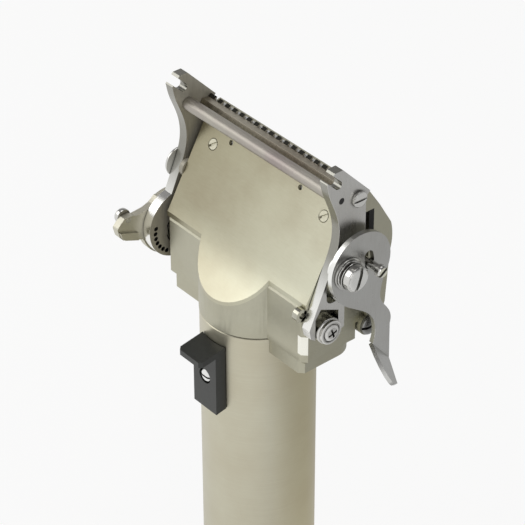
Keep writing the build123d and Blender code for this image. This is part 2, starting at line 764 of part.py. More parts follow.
def pivot_screw(head_radius, head_height, head_seat):
    """Shouldered screw, whose shoulder ends on the casting."""
    shoulder_length = head_seat - wing_half_width
    with BuildPart() as screw:
        add(slotted_screw(head_radius, head_height, pivot_radius, shoulder_length, 1.4,
                          0.5 * head_height))
        with BuildSketch(Plane.XY.offset(-shoulder_length)):
            Circle(pivot_thread_radius)
        extrude(amount=-pivot_thread_length)
    return screw.part.rotate(Axis.Z, 72)


with BuildPart() as pivot_screws:
    with Locations(facing_right(right_head_seat, pivot_y, pivot_height)):
        add(pivot_screw(4.9, 4.4, right_head_seat))
    with Locations(facing_left(-left_head_seat, pivot_y, pivot_height)):
        add(pivot_screw(4.5, 1.6, left_head_seat))
finish(pivot_screws.part, "pivot_screws")

with BuildPart() as flat_washers:
    with Locations(facing_right(clamp_outer, pivot_y, pivot_height),
                   facing_left(-left_washer_seat, pivot_y, pivot_height)):
        add(washer(washer_radius, pivot_radius + running_clearance, flat_washer_thickness))
finish(flat_washers.part, "flat_washers")

with BuildPart() as pivot_spacer:
    with Locations(facing_left(-wing_half_width, pivot_y, pivot_height)):
        add(washer(spacer_radius, pivot_radius + running_clearance, left_standoff - sliding_gap))
finish(pivot_spacer.part, "pivot_spacer")

spring_bore = pivot_radius + running_clearance
spring_rim = 5.4
spring_leaf = 0.4
spring_seat = (clamp_outer + flat_washer_thickness, pivot_y, seam + pivot_height)
with BuildPart() as spring_washer:
    with BuildSketch(Plane(origin=spring_seat, x_dir=(0, 1, 0), z_dir=(0, 0, -1))):
        middle = spring_washer_thickness / 2
        with BuildLine():
            Polyline((spring_bore, middle - spring_leaf / 2), (spring_bore, middle + spring_leaf / 2),
                     (spring_rim, spring_washer_thickness),
                     (spring_rim, spring_washer_thickness - spring_leaf),
                     (spring_bore + 1, middle), (spring_rim, spring_leaf), (spring_rim, 0),
                     close=True)
        make_face()
    revolve(axis=Axis(spring_seat, (1, 0, 0)))
finish(spring_washer.part, "spring_washer")

with BuildPart() as guide_pin:
    with BuildSketch(side_plane(wing_half_width - guide_pin_seat)):
        with Locations((guide_pin_y, guide_pin_height)):
            Circle(guide_pin_radius)
    extrude(amount=clamp_outer + guide_pin_reach - wing_half_width + guide_pin_seat)
    with BuildSketch(side_plane(clamp_outer + guide_pin_reach - guide_pin_head_length)):
        with Locations((guide_pin_y, guide_pin_height)):
            Circle(guide_pin_head_radius)
    extrude(amount=guide_pin_head_length)
    chamfer(guide_pin.faces().sort_by(Axis.X)[-1].edges(), 0.5)
    slot_depth = 1.6
    with BuildSketch(side_plane(clamp_outer + guide_pin_reach - slot_depth)):
        with Locations((guide_pin_y, guide_pin_height)):
            Rectangle(4 * guide_pin_head_radius, 1.2, rotation=35)
    extrude(amount=2 * slot_depth, mode=Mode.SUBTRACT)
finish(guide_pin.part, "guide_pin")

side_plug = slotted_screw(3.9, 1.6, plug_radius, plug_depth, 1.1, 1.2)
with BuildPart() as side_plugs:
    with Locations(facing_right(cheek_half_width, plug_y, plug_height),
                   facing_left(-cheek_half_width, plug_y, plug_height)):
        add(side_plug)
finish(side_plugs.part, "side_plugs")

# ---------------------------------------------------------------- clamp lever
fold_start = Vector(13.2, 2.6)
fold_end = Vector(21.4, -7.3)
fold_direction = (fold_end - fold_start).normalized()
bend = radians(tab_bend)
clamp_hub_radius = 5.0

with BuildPart() as clamp_lever:
    with BuildSketch(side_plane(clamp_inner)):
        with Locations((clamp_disc_y, clamp_disc_height)):
            Circle(disc_radius)
        with BuildLine():
            Spline((-5.0, 30.9), (4.2, 22.2), (12.6, 14.5), (14.2, 9.0), fold_start)
            Line(fold_start, fold_end)
            Line(fold_end, (21.2, 8.2))
            Spline((21.2, 8.2), (19.8, 15.6), (16.3, 21.4), (16.5, 26.6), (19.2, 34.4))
            Line((19.2, 34.4), (-5.0, 30.9))
        make_face()
        with Locations((pivot_y, pivot_height)):
            Circle(pivot_radius + running_clearance, mode=Mode.SUBTRACT)
        # arc slot, concentric with the pivot, in which the guide pin rides
        pin_offset = Vector(guide_pin_y - pivot_y, guide_pin_height - pivot_height)
        pin_angle = atan2(pin_offset.Y, pin_offset.X)
        with BuildLine(mode=Mode.PRIVATE) as slot_line:
            CenterArc((pivot_y, pivot_height), pin_offset.length, degrees(pin_angle), clamp_swing)
        SlotArc(slot_line.edge(), 2 * (guide_pin_radius + free_gap), mode=Mode.SUBTRACT)
    extrude(amount=clamp_thickness)
    with BuildSketch(side_plane(plate_outer + sliding_gap)):
        with Locations((pivot_y, pivot_height)):
            Circle(clamp_hub_radius)
            Circle(pivot_radius + running_clearance, mode=Mode.SUBTRACT)
    extrude(amount=clamp_gap - sliding_gap)
    # thumb tab, bent outwards along a slanting fold
    away = Vector(0, fold_direction.Y, -fold_direction.X)
    tab_down = away * cos(bend) + Vector(sin(bend), 0, 0)
    fold_axis = Vector(0, fold_direction.X, fold_direction.Y)
    tab_plane = Plane(origin=(clamp_outer, fold_start.X, seam + fold_start.Y),
                      x_dir=fold_axis, z_dir=fold_axis.cross(tab_down))
    with BuildSketch(tab_plane):
        with BuildLine():
            Polyline((0, -0.8), (0.6, 4.5), (1.8, 8.6), (4.0, 12.2), (6.4, 14.0), (8.2, 14.0),
                     (11.6, 12.4), (12.8, -0.8), close=True)
        make_face()
    extrude(amount=tab_thickness)
finish(clamp_lever.part, "clamp_lever")

# ---------------------------------------------------------------- thickness lever
hub_inner = left_plate_outer + sliding_gap
lever_outer = hub_inner + lever_thickness
knob_length = 2.6
knob_radius = 3.0
knob_stud_radius = 1.0
knob_centre = Vector(-24.2, 23.9)
with BuildPart() as thickness_lever:
    with BuildSketch(side_plane(-lever_outer)):
        with Locations((eye_y, eye_height)):
            Circle(index_plate_radius - 0.8)
        with BuildLine():
            Polyline((-7.0, 27.5), (-10.1, 28.0), (-12.6, 25.9), (-16.0, 24.8), (-21.0, 24.4),
                     (-22.5, 25.2), (-26.0, 25.2), (-28.0, 23.6), (-29.6, 21.8), (-28.6, 18.0),
                     (-27.0, 16.1), (-18.1, 12.7), (-15.5, 8.5), close=True)
        make_face()
        fillet(vertices().sort_by(Axis.X)[:2], 1.2)
        with Locations((eye_y, eye_height)):
            Circle(cross_shaft_radius, mode=Mode.SUBTRACT)
        with Locations(knob_centre):
            Circle(knob_stud_radius, mode=Mode.SUBTRACT)
    extrude(amount=lever_thickness)
    # raised pad for the thumb, beyond the round end of the side plate
    pad_height = 1.0
    with BuildSketch(side_plane(-hub_inner)):
        with BuildLine():
            Polyline((-28.9, 20.4), (-20.4, 17.2), (-20.4, 13.8), (-26.8, 16.4), (-28.2, 18.2),
                     close=True)
        make_face()
    extrude(amount=pad_height)
finish(thickness_lever.part, "thickness_lever")

with BuildPart() as lever_knob:
    with BuildSketch(side_plane(-lever_outer - knob_length)):
        with Locations(knob_centre):
            Circle(knob_radius)
    extrude(amount=knob_length)
    fillet(lever_knob.faces().sort_by(Axis.X)[0].edges(), 1.2)
    with BuildSketch(side_plane(-lever_outer)):
        with Locations(knob_centre):
            Circle(knob_stud_radius)
    extrude(amount=lever_thickness)
finish(lever_knob.part, "lever_knob")

shaft_head_radius = 4.5
shaft_head_height = 2.2
shaft_end = plate_outer - 1.0
with BuildPart() as thickness_shaft:
    with BuildSketch(side_plane(-lever_outer)):
        with Locations((eye_y, eye_height)):
            Circle(cross_shaft_radius)
    extrude(amount=lever_outer + shaft_end)
    with BuildSketch(side_plane(-lever_outer - shaft_head_height)):
        with Locations((eye_y, eye_height)):
            Circle(shaft_head_radius)
    extrude(amount=shaft_head_height)
    fillet(thickness_shaft.faces().sort_by(Axis.X)[0].edges(), 1.0)
finish(thickness_shaft.part, "thickness_shaft")

proud_cam_width = plate_thickness + cam_proud
with BuildPart() as eccentric_cams:
    for start, width in ((plate_inner + sliding_gap, proud_cam_width),
                         (-left_plate_outer, plate_thickness)):
        with BuildSketch(side_plane(start)):
            with Locations(cam_centre):
                Circle(cam_radius)
        extrude(amount=width)
    fillet(eccentric_cams.faces().sort_by(Axis.X)[-1].edges(), 0.8)
    with BuildSketch(side_plane(-left_plate_outer)):
        with Locations((eye_y, eye_height)):
            Circle(cross_shaft_radius)
    extrude(amount=left_plate_outer + shaft_end, mode=Mode.SUBTRACT)
    cross_depth = 1.4
    with BuildSketch(side_plane(plate_outer + cam_proud - cross_depth)):
        with Locations(cam_centre):
            Rectangle(4.2, 1.2)
            Rectangle(1.2, 4.2)
    extrude(amount=2 * cross_depth, mode=Mode.SUBTRACT)
finish(eccentric_cams.part, "eccentric_cams")

# ---------------------------------------------------------------- trigger
trigger_back_radius = grip_radius + free_gap
with BuildPart() as trigger:
    with BuildSketch(Plane.YZ.offset(-trigger_width / 2)):
        with BuildLine():
            Polyline((trigger_front, seam + trigger_bottom), (-18, seam + trigger_bottom + 1.5),
                     (-18, seam + trigger_top + 1.0), (trigger_ledge_front, seam + trigger_top - 1.4),
                     (trigger_ledge_front, seam + trigger_top - 1.4 - trigger_ledge_thickness),
                     (trigger_front, seam + trigger_top - 0.3 - trigger_ledge_thickness), close=True)
        make_face()
    extrude(amount=trigger_width)
    with BuildSketch(Plane.XY.offset(seam + trigger_bottom - 5)):
        Circle(trigger_back_radius)
    extrude(amount=50, mode=Mode.SUBTRACT)
    chamfer(trigger.edges().filter_by(Axis.Z).group_by(Axis.Y)[0], 1.2)
    with BuildSketch(Plane.XZ.offset(-trigger_front - trigger_screw_sink)):
        with Locations((0, seam + trigger_screw_height)):
            Circle(trigger_screw_head_radius + free_gap)
    extrude(amount=2 * trigger_screw_sink, mode=Mode.SUBTRACT)
    with BuildSketch(Plane.XZ):
        with Locations((0, seam + trigger_screw_height)):
            Circle(trigger_screw_radius + seat_clearance)
    extrude(amount=-trigger_front, mode=Mode.SUBTRACT)
finish(trigger.part, "trigger")

slider_back = tube_bore_radius - 0.8
slider_flange = 1.6
with BuildPart() as trigger_slider:
    with BuildSketch(Plane.XZ.offset(slider_back - slider_flange)):
        with Locations((0, seam + trigger_screw_height)):
            RectangleRounded(slider_width + 3, slider_length + 2, 1.0)
    extrude(amount=slider_flange)
    with BuildSketch(Plane.XZ.offset(slider_back)):
        with Locations((0, seam + trigger_screw_height)):
            RectangleRounded(slider_width, slider_length, 1.0)
    extrude(amount=trigger_back_radius - 0.22 - slider_back)
    with BuildSketch(Plane.XZ):
        with Locations((0, seam + trigger_screw_height)):
            Circle(trigger_screw_radius)
    extrude(amount=-trigger_front, mode=Mode.SUBTRACT)
finish(trigger_slider.part, "trigger_slider")

with BuildPart() as trigger_screw:
    seat_y = trigger_front + trigger_screw_sink
    seat = Plane(origin=(0, seat_y, seam + trigger_screw_height), x_dir=(1, 0, 0), z_dir=(0, -1, 0))
    with Locations(seat):
        add(slotted_screw(trigger_screw_head_radius, 1.7, trigger_screw_radius,
                          slider_flange - seat_y - slider_back, 0.8, 0.8))
finish(trigger_screw.part, "trigger_screw")
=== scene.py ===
"""Cordless skin-graft knife: a satin grip and a leaning head, with comb, gauge bar and levers."""
import json
import math

import bpy
from mathutils import Matrix, Vector

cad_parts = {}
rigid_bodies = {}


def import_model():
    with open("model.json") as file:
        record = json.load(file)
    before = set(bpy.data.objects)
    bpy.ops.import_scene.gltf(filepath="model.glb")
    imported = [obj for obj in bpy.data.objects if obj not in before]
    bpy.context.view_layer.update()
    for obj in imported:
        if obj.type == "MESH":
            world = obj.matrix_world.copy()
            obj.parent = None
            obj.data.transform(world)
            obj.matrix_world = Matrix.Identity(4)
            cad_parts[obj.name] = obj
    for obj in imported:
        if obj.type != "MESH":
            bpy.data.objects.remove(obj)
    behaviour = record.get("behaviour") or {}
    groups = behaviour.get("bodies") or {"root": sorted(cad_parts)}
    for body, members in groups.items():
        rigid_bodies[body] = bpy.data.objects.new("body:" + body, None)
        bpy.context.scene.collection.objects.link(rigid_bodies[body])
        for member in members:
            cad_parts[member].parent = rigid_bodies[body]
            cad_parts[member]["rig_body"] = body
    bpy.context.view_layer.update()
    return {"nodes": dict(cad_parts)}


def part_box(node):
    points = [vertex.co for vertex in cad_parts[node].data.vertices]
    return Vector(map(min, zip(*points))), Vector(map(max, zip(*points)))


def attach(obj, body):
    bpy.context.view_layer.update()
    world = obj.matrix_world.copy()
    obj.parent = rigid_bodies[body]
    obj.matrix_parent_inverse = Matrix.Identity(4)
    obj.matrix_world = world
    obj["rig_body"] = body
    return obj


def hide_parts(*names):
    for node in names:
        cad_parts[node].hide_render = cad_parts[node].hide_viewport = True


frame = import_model()

# Camera: a long lens above the knife and to the right of its front. It looks down on the
# leaning head, while the grip runs away from it and out at the foot of the frame.
seam_height = round(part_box("seam_seal")[1].z, 6)
azimuth = math.radians(50.02)
elevation = math.radians(35.22)
roll = math.radians(-0.16)
distance = 0.8928
aim_above_seam = 0.01828
aim_to_right = 0.00165
film_width = 36
focal_length = 168.26
farthest = 20
level_right = Vector((math.cos(azimuth), math.sin(azimuth), 0))
back = Vector((math.sin(azimuth) * math.cos(elevation),
               -math.cos(azimuth) * math.cos(elevation), math.sin(elevation)))
level_up = back.cross(level_right)
camera_right = level_right * math.cos(roll) + level_up * math.sin(roll)
camera_up = level_up * math.cos(roll) - level_right * math.sin(roll)
camera_data = bpy.data.cameras.new("camera")
camera_data.sensor_width = film_width
camera_data.lens = focal_length
camera_data.clip_end = farthest
camera = bpy.data.objects.new("camera", camera_data)
bpy.context.scene.collection.objects.link(camera)
aim = Vector((0, 0, seam_height + aim_above_seam)) + level_right * aim_to_right
turn = Matrix((camera_right, camera_up, back)).transposed()
camera.matrix_world = Matrix.LocRotScale(aim + back * distance, turn, None)
bpy.context.scene.camera = camera
bpy.context.scene.view_settings.view_transform = "Standard"


# Floor, backdrop and lamps: a white sweep lit by soft boxes in a room whose ceiling is darker.
# The eye sees the sweep as plain white. Polished metal sees it too, with the room's grey
# ceiling above it and a grey screen behind the knife's right side.
def node_at(tree, kind, values=None, **settings):
    """Add a node with its settings, and with the values of its inputs."""
    node = tree.nodes.new(kind)
    for key, value in settings.items():
        setattr(node, key, value)
    for socket, value in (values or {}).items():
        node.inputs[socket].default_value = value
    return node


def wire(tree, *pairs):
    """Join the output of each pair to its input."""
    for output, socket in pairs:
        tree.links.new(output, socket)


def grey_screen(tree, outward, starts, ends, tone):
    """White that falls to a tone of grey towards the side where the screen stands."""
    side = node_at(tree, "ShaderNodeVectorMath", {1: screen_side}, operation="DOT_PRODUCT")
    screen = node_at(tree, "ShaderNodeMapRange",
                     {"From Min": starts, "From Max": ends, "To Min": 1.0, "To Max": tone},
                     interpolation_type="SMOOTHSTEP")
    wire(tree, (outward, side.inputs[0]), (side.outputs["Value"], screen.inputs["Value"]))
    return screen.outputs[0]


def show_plain(tree, tone, share, own_light, shown_kind, output_kind):
    """Show the sweep as plain white to the eye, and as a tone to polished metal.

    The rest of the room gets the sweep's own light, as does what the share leaves over."""
    path = node_at(tree, "ShaderNodeLightPath")
    mirrored = node_at(tree, "ShaderNodeMath", operation="MAXIMUM")
    seen = node_at(tree, "ShaderNodeMath", operation="MAXIMUM")
    weighed = node_at(tree, "ShaderNodeMath", {1: share}, operation="MULTIPLY")
    shade = node_at(tree, "ShaderNodeMix", {"B": white}, data_type="RGBA")
    shown = node_at(tree, shown_kind, {"Strength": 1.0})
    blend = node_at(tree, "ShaderNodeMixShader")
    output = node_at(tree, output_kind)
    wire(tree, (path.outputs["Is Glossy Ray"], mirrored.inputs[0]),
         (path.outputs["Is Transmission Ray"], mirrored.inputs[1]),
         (path.outputs["Is Camera Ray"], seen.inputs[0]), (mirrored.outputs[0], seen.inputs[1]),
         (seen.outputs[0], weighed.inputs[0]), (weighed.outputs[0], blend.inputs[0]),
         (path.outputs["Is Camera Ray"], shade.inputs["Factor"]), (tone, shade.inputs["A"]),
         (shade.outputs["Result"], shown.inputs["Color"]), (own_light, blend.inputs[1]),
         (shown.outputs[0], blend.inputs[2]), (blend.outputs[0], output.inputs[0]))


white = (1, 1, 1, 1)
sky_white = (1.0, 0.995, 0.98, 1)
ceiling_grey = (0.30, 0.295, 0.30, 1)
floor_white = (0.84, 0.84, 0.84, 1)
floor_size = 6
screen_side = (0.35, 0.94, 0.0)
world = bpy.data.worlds.new("studio")
bpy.context.scene.world = world
world.use_nodes = True
sky = world.node_tree
sky.nodes.clear()
sky_fill = node_at(sky, "ShaderNodeBackground", {"Color": sky_white, "Strength": 0.55})
sky_place = node_at(sky, "ShaderNodeTexCoord")
sky_split = node_at(sky, "ShaderNodeSeparateXYZ")
sky_shade = node_at(sky, "ShaderNodeMix", {"Factor": 1.0}, data_type="RGBA", blend_type="MULTIPLY")
ceiling = node_at(sky, "ShaderNodeValToRGB")
ceiling.color_ramp.interpolation = "EASE"
ceiling_start, ceiling_end = ceiling.color_ramp.elements
ceiling_start.position = 0.20
ceiling_start.color = white
ceiling_end.position = 0.62
ceiling_end.color = ceiling_grey
sky_screen = grey_screen(sky, sky_place.outputs["Generated"], starts=0.15, ends=0.75, tone=0.40)
wire(sky, (sky_place.outputs["Generated"], sky_split.inputs[0]),
     (sky_split.outputs["Z"], ceiling.inputs[0]), (ceiling.outputs[0], sky_shade.inputs["A"]),
     (sky_screen, sky_shade.inputs["B"]))
show_plain(sky, sky_shade.outputs["Result"], share=1.0, own_light=sky_fill.outputs[0],
           shown_kind="ShaderNodeBackground", output_kind="ShaderNodeOutputWorld")

bpy.ops.object.select_all(action="DESELECT")
bpy.ops.mesh.primitive_plane_add(size=floor_size, location=(0, 0, 0))
floor = bpy.context.object
floor.name = "floor"
floor_paint = bpy.data.materials.new("floor_paint")
floor_paint.use_nodes = True
sweep = floor_paint.node_tree
sweep.nodes.clear()
floor_diffuse = node_at(sweep, "ShaderNodeBsdfDiffuse", {"Color": floor_white})
floor_place = node_at(sweep, "ShaderNodeTexCoord")
floor_screen = grey_screen(sweep, floor_place.outputs["Object"], starts=-0.13, ends=0.20, tone=0.49)
show_plain(sweep, floor_screen, share=0.84, own_light=floor_diffuse.outputs[0],
           shown_kind="ShaderNodeEmission", output_kind="ShaderNodeOutputMaterial")
floor.data.materials.append(floor_paint)


def lamp(name, place, size, watts, colour):
    """A rectangular soft box at a place, turned towards the knife's head."""
    data = bpy.data.lights.new(name, "AREA")
    data.shape = "RECTANGLE"
    data.size, data.size_y = size
    data.energy = watts
    data.color = colour
    soft_box = bpy.data.objects.new(name, data)
    bpy.context.scene.collection.objects.link(soft_box)
    soft_box.location = place
    towards_head = head_centre - Vector(place)
    soft_box.rotation_euler = towards_head.to_track_quat("-Z", "Y").to_euler()


head_centre = Vector((0, 0, 0.17))
lamp("key_box", (-0.85, -0.85, 1.05), size=(0.9, 0.9), watts=4.6, colour=(1.0, 0.995, 0.98))
lamp("top_box", (-0.15, 0.25, 1.35), size=(0.9, 0.6), watts=3.2, colour=(1.0, 1.0, 1.0))
lamp("right_strip", (1.2, -0.55, 0.85), size=(0.25, 0.8), watts=1.2, colour=(1.0, 1.0, 1.0))


# Grip: a drawn tube turned to a satin finish, closed below by a cap of the same metal.
# The tool leaves fine rings round it, and handling has dulled and stained it a little. Its
# right side is painted darker and warmer, as painted shade.
def new_finish(name):
    """A material, with its node tree and its shader."""
    material = bpy.data.materials.new(name)
    material.use_nodes = True
    return material, material.node_tree, material.node_tree.nodes["Principled BSDF"]


def metal(name, colour, stain, roughness, grain, grain_scale, grain_depth, speckle,
          grain_turn=(0, 0, 0), shade_reach=0.0022, shade_depth=0.45, metallic=1.0,
          fade_along=(0, 0, 1), fade_from=0.0, fade_to=1.0, fade_tone=(1.0, 1.0, 1.0)):
    """Bare metal: a directional grain, fine speckle, cloudy staining, and painted shade that
    darkens corners and the gaps between parts.

    Along fade_along, between two distances, the colour is multiplied more and more by fade_tone, a
    painted shade on that side."""
    material, tree, shader = new_finish(name)
    shader.inputs["Metallic"].default_value = metallic
    place = node_at(tree, "ShaderNodeTexCoord")
    mapping = node_at(tree, "ShaderNodeMapping", {"Rotation": grain_turn, "Scale": grain_scale})
    lines = node_at(tree, "ShaderNodeTexNoise", {"Scale": 1.0, "Detail": 4.0, "Roughness": 0.62})
    grit = node_at(tree, "ShaderNodeTexNoise", {"Scale": 2600.0, "Detail": 2.0})
    cloud = node_at(tree, "ShaderNodeTexNoise", {"Scale": 42.0, "Detail": 5.0, "Roughness": 0.6})
    cloud_edge = node_at(tree, "ShaderNodeMapRange", {"From Min": 0.38, "From Max": 0.68})
    tint = node_at(tree, "ShaderNodeMix", {"A": (*colour, 1), "B": (*stain, 1)}, data_type="RGBA")
    streak = node_at(tree, "ShaderNodeMix", {"Factor": grain}, data_type="RGBA",
                     blend_type="OVERLAY")
    # Ambient occlusion paints shade into corners and between parts.
    corner = node_at(tree, "ShaderNodeAmbientOcclusion", {"Distance": shade_reach}, samples=6)
    corner_edge = node_at(tree, "ShaderNodeMapRange",
                          {"From Min": 0.25, "From Max": 0.8, "To Min": 1.0 - shade_depth})
    painted_corner_shade = node_at(tree, "ShaderNodeMix", {"Factor": 1.0}, data_type="RGBA",
                    blend_type="MULTIPLY")
    along = node_at(tree, "ShaderNodeVectorMath", {1: fade_along}, operation="DOT_PRODUCT")
    faded = node_at(tree, "ShaderNodeMapRange", {"From Min": fade_from, "From Max": fade_to})
    painted_side_shade = node_at(tree, "ShaderNodeMix", {"B": (*fade_tone, 1)}, data_type="RGBA",
                   blend_type="MULTIPLY")
    gloss = node_at(tree, "ShaderNodeMapRange",
                    {"To Min": max(roughness - 0.06, 0.03), "To Max": roughness + 0.10})
    relief = node_at(tree, "ShaderNodeBump", {"Strength": grain_depth, "Distance": 0.00006})
    pits = node_at(tree, "ShaderNodeBump", {"Strength": speckle, "Distance": 0.00004})
    wire(tree, (place.outputs["Object"], mapping.inputs["Vector"]),
         (mapping.outputs[0], lines.inputs["Vector"]),
         (place.outputs["Object"], grit.inputs["Vector"]),
         (place.outputs["Object"], cloud.inputs["Vector"]),
         (cloud.outputs["Fac"], cloud_edge.inputs["Value"]),
         (cloud_edge.outputs[0], tint.inputs["Factor"]),
         (tint.outputs["Result"], streak.inputs["A"]), (lines.outputs["Fac"], streak.inputs["B"]),
         (streak.outputs["Result"], painted_corner_shade.inputs["A"]),
         (corner.outputs["AO"], corner_edge.inputs["Value"]),
         (corner_edge.outputs[0], painted_corner_shade.inputs["B"]),
         (place.outputs["Object"], along.inputs[0]),
         (along.outputs["Value"], faded.inputs["Value"]),
         (faded.outputs[0], painted_side_shade.inputs["Factor"]), (painted_corner_shade.outputs["Result"], painted_side_shade.inputs["A"]),
         (painted_side_shade.outputs["Result"], shader.inputs["Base Color"]),
         (lines.outputs["Fac"], gloss.inputs["Value"]),
         (gloss.outputs[0], shader.inputs["Roughness"]),
         (lines.outputs["Fac"], relief.inputs["Height"]),
         (grit.outputs["Fac"], pits.inputs["Height"]),
         (relief.outputs["Normal"], pits.inputs["Normal"]),
         (pits.outputs["Normal"], shader.inputs["Normal"]))
    return material


def dressed(node, finish, edge_break, steps=2, weld=2e-6):
    """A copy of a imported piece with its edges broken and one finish, which stands for it."""
    flat_within = math.radians(0.6)
    sharper_than = math.radians(28)
    bpy.ops.object.select_all(action="DESELECT")
    source = frame["nodes"][node]
    piece = bpy.data.objects.new(node + "_eased", source.data.copy())
    bpy.context.scene.collection.objects.link(piece)
    piece.data.materials.clear()
    piece.select_set(True)
    bpy.context.view_layer.objects.active = piece
    bpy.ops.object.mode_set(mode="EDIT")
    bpy.ops.mesh.select_all(action="SELECT")
    bpy.ops.mesh.remove_doubles(threshold=weld)
    bpy.ops.mesh.dissolve_limited(angle_limit=flat_within)
    bpy.ops.object.mode_set(mode="OBJECT")
    bevel = piece.modifiers.new("broken_edges", "BEVEL")
    bevel.width = edge_break
    bevel.segments = steps
    bevel.limit_method = "ANGLE"
    bevel.angle_limit = sharper_than
    bevel.use_clamp_overlap = True
    bpy.ops.object.modifier_apply(modifier=bevel.name)
    bpy.ops.object.shade_smooth_by_angle(angle=sharper_than)
    flat_faces = piece.modifiers.new("flat_faces", "WEIGHTED_NORMAL")
    flat_faces.keep_sharp = True
    bpy.ops.object.modifier_apply(modifier=flat_faces.name)
    piece.data.materials.append(finish)
    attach(piece, source["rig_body"])
    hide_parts(node)
    return piece


grip_metal = metal("turned_grip_metal", (0.585, 0.56, 0.44), (0.55, 0.515, 0.395), roughness=0.34,
                   grain=0.12, grain_scale=(40, 40, 5200), grain_depth=0.12, speckle=0.10,
                   fade_along=(0.64, 0.77, 0), fade_from=0.004, fade_to=0.018,
                   fade_tone=(1.0, 0.95, 0.80))
for node in ("handle_tube", "end_cap"):
    dressed(node, grip_metal, edge_break=0.0002)


# Seals: a rubber ring in the end cap's groove, and a flat one where the tube meets the head.
# Both are moulded in black nitrile and squeezed a little when the parts are screwed up.
def dull(name, colour, second, roughness, mottle_scale, depth, specular=0.5):
    """Rubber, plastic or paint: two close shades in a fine mottle, with a little relief."""
    material, tree, shader = new_finish(name)
    shader.inputs["Roughness"].default_value = roughness
    shader.inputs["Specular IOR Level"].default_value = specular
    place = node_at(tree, "ShaderNodeTexCoord")
    mottle = node_at(tree, "ShaderNodeTexNoise", {"Scale": mottle_scale, "Detail": 5.0})
    shades = node_at(tree, "ShaderNodeMix", {"A": (*colour, 1), "B": (*second, 1)},
                     data_type="RGBA")
    relief = node_at(tree, "ShaderNodeBump", {"Strength": depth, "Distance": 0.00008})
    wire(tree, (place.outputs["Object"], mottle.inputs["Vector"]),
         (mottle.outputs["Fac"], shades.inputs["Factor"]),
         (shades.outputs["Result"], shader.inputs["Base Color"]),
         (mottle.outputs["Fac"], relief.inputs["Height"]),
         (relief.outputs["Normal"], shader.inputs["Normal"]))
    return material


nitrile = dull("black_nitrile", (0.012, 0.012, 0.012), (0.028, 0.027, 0.025), roughness=0.5,
               mottle_scale=900, depth=0.3)
for node in ("cap_seal", "seam_seal"):
    dressed(node, nitrile, edge_break=0.00005)

# Power: a rechargeable pack in a shrunk sleeve stands on a flat contact ring in the cap. Over
# it lies a round control board, whose three posts carry a small motor in a drawn steel can.
contact_metal = metal("plated_contact", (0.78, 0.60, 0.28), (0.70, 0.52, 0.22), roughness=0.22,
                      grain=0.15, grain_scale=(900, 900, 900), grain_depth=0.15, speckle=0.10)
sleeve = dull("shrunk_sleeve", (0.03, 0.075, 0.16), (0.04, 0.09, 0.19), roughness=0.32,
              mottle_scale=260, depth=0.12)
board_green = dull("board_lacquer", (0.012, 0.10, 0.045), (0.02, 0.14, 0.06), roughness=0.28,
                   mottle_scale=1400, depth=0.35)
motor_can = metal("zinc_plated_can", (0.55, 0.56, 0.57), (0.47, 0.48, 0.49), roughness=0.30,
                  grain=0.20, grain_scale=(60, 60, 2600), grain_depth=0.25, speckle=0.10)
for node, finish, slot_name in (("battery_contact", contact_metal, "contact_brass"),
                                ("battery_pack", sleeve, "battery_sleeve"),
                                ("control_board", board_green, "board_laminate"),
                                ("motor", motor_can, "motor_steel")):
    dressed(node, finish, edge_break=0.0002)


# Head casting: an investment casting, bead blasted all over, which carries the whole head. The
# slots behind the side plates are painted black as painted shade, and so is a strip of the flat
# cheek that makes the right one look wider. One corner facet is polished and painted near white
# as a painted highlight, and the eyelet is worn bright, with strong painted shade in its hole.
def finish_faces(piece, finish, wanted):
    """Give one finish to the faces whose centre and normal are wanted."""
    piece.data.materials.append(finish)
    index = len(piece.data.materials) - 1
    for face in piece.data.polygons:
        if wanted(face.center, face.normal):
            face.material_index = index


cast_metal = metal("blasted_casting", (0.50, 0.487, 0.388), (0.46, 0.442, 0.342), roughness=0.40,
                   grain=0.08, grain_scale=(700, 700, 700), grain_depth=0.15, speckle=0.30,
                   shade_reach=0.005, shade_depth=0.45)
polished_corner_highlight = metal("polished_corner_glint", (0.93, 0.92, 0.84), (0.88, 0.87, 0.78), roughness=0.10,
                      grain=0.08, grain_scale=(900, 900, 900), grain_depth=0.10, speckle=0.05)
eyelet_metal = metal("worn_eyelet", (0.50, 0.49, 0.42), (0.34, 0.33, 0.27), roughness=0.12,
                     grain=0.20, grain_scale=(900, 900, 900), grain_depth=0.15, speckle=0.10,
                     shade_reach=0.003, shade_depth=0.85)
painted_slot_shadow = dull("painted_slot_shadow", (0.006, 0.006, 0.006), (0.012, 0.012, 0.011), roughness=0.7,
                  mottle_scale=800, depth=0.2)
across = (1, 0, 0)
rearward = (0, 1, 0)
upward = (0, 0, 1)
square_on = 0.9
nearly_square = 0.95
corner_facing = -0.45
corner_side = 0.0355
corner_back = -0.0095
corner_foot = seam_height + 0.0032
corner_head = seam_height + 0.0112
cheek_face = 0.036
strip_front = 0.0165
strip_back = 0.0188
strip_foot = seam_height + 0.0460
strip_head = seam_height + 0.0550
slot_inner, slot_outer = 0.0329, 0.0390
slot_front, slot_back = 0.0129, 0.0202
slot_foot, slot_head = seam_height + 0.044, seam_height + 0.0645
eyelet_inner, eyelet_outer = 0.0352, 0.0388
eyelet_front = -0.0117
eyelet_y, eyelet_height = -0.0122, seam_height + 0.0216
eyelet_radius = 0.0030
piece = dressed("head_casting", cast_metal, edge_break=0.0004, steps=3, weld=2e-5)
bpy.ops.object.mode_set(mode="EDIT")
for cut_at, cut_facing in (((0, 0, corner_foot), upward), ((0, 0, corner_head), upward),
                           ((corner_side, 0, 0), across)):
    bpy.ops.mesh.select_all(action="SELECT")
    bpy.ops.mesh.bisect(plane_co=cut_at, plane_no=cut_facing)
bpy.ops.object.mode_set(mode="OBJECT")
